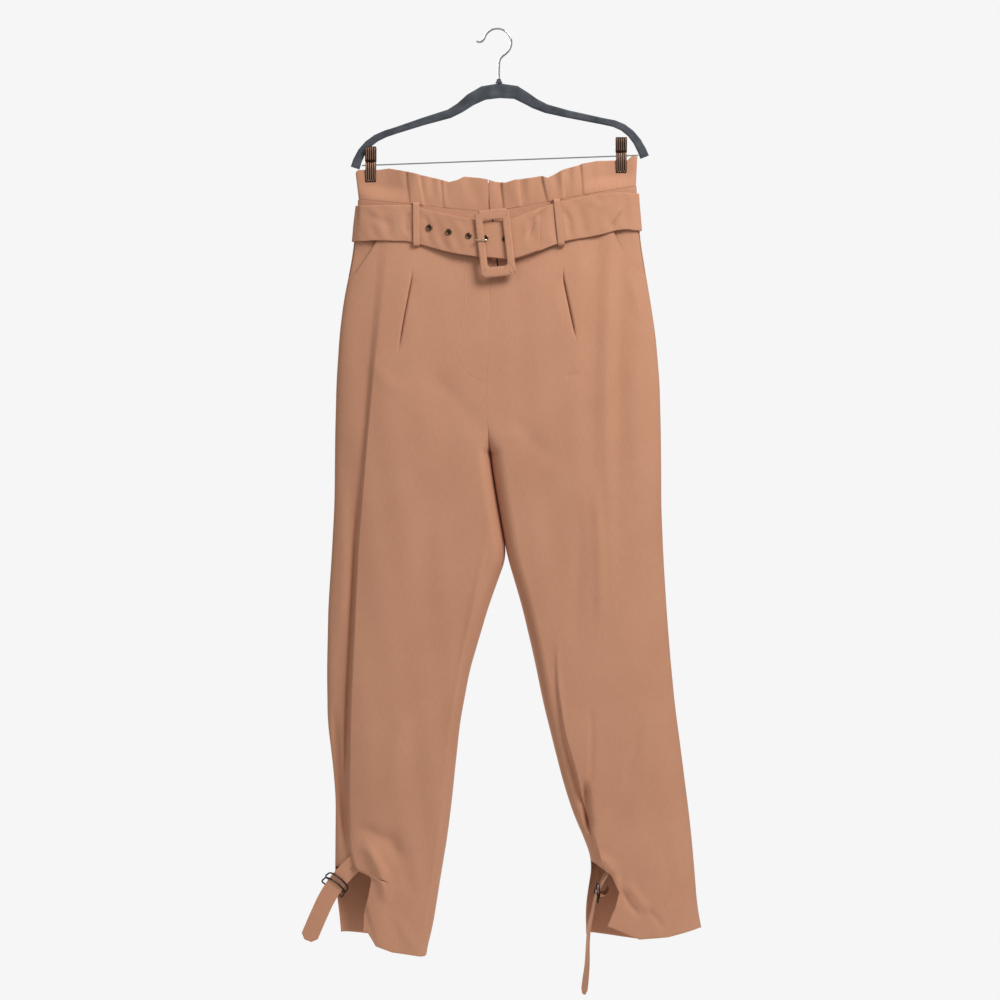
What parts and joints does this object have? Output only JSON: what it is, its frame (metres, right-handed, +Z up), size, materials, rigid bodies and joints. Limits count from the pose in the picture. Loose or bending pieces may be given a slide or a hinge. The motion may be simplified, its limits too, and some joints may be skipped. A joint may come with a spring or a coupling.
{
  "type": "paperbag waist trousers on a clip hanger",
  "caption": "High-waisted cloth trousers with a ruffled waist, a wide belt with a covered buckle and ankle straps, hung from a slim clip hanger.",
  "frame": {"origin": "inside top of the hanger's hook, where it rests on a rail", "axes": "+Z up along the hang, the front faces -Y, +X is the wearer's left"},
  "size_m": [0.5917, 0.0734, 1.4241],
  "materials": {
    "crepe_cloth": "matt woven crepe",
    "belt_cloth": "the same crepe, interfaced and stitched",
    "zip_tape": "woven tape",
    "eyelet_metal": "dark antique plating",
    "prong_metal": "pale gold plating",
    "ring_metal": "dark plated wire",
    "hook_chrome": "bright wire",
    "hanger_flock": "grey flocked plastic",
    "clip_metal": "rose gold plated pressed metal"
  },
  "bodies": {
    "root": {"ankle_strap_left": "belt_cloth", "ankle_strap_right": "belt_cloth", "belt": "belt_cloth", "belt_loop_left_back": "belt_cloth", "belt_loop_left_front": "belt_cloth", "belt_loop_right_back": "belt_cloth", "belt_loop_right_front": "belt_cloth", "buckle_centre_bar": "ring_metal", "buckle_frame": "belt_cloth", "buckle_prong": "prong_metal", "clip_left_back": "clip_metal", "clip_left_front": "clip_metal", "clip_left_spring": "clip_metal", "clip_right_back": "clip_metal", "clip_right_front": "clip_metal", "clip_right_spring": "clip_metal", "d_ring_left_1": "ring_metal", "d_ring_left_2": "ring_metal", "d_ring_right_1": "ring_metal", "d_ring_right_2": "ring_metal", "eyelet_1": "eyelet_metal", "eyelet_2": "eyelet_metal", "eyelet_3": "eyelet_metal", "eyelet_4": "eyelet_metal", "eyelet_5": "eyelet_metal", "fly_underlap": "crepe_cloth", "fly_zip": "zip_tape", "hanger_bar": "hook_chrome", "hanger_body": "hanger_flock", "hanger_collar": "hanger_flock", "hanger_hook": "hook_chrome", "leg_left_back": "crepe_cloth", "leg_left_front": "crepe_cloth", "leg_right_back": "crepe_cloth", "leg_right_front": "crepe_cloth", "pocket_facing_left": "crepe_cloth", "pocket_facing_right": "crepe_cloth", "ring_tab_left": "belt_cloth", "ring_tab_right": "belt_cloth", "ruffle_back": "crepe_cloth", "ruffle_left_front": "crepe_cloth", "ruffle_right_front": "crepe_cloth", "waistband_back": "crepe_cloth", "waistband_left_front": "crepe_cloth", "waistband_right_front": "crepe_cloth"}
  },
  "joints": []
}
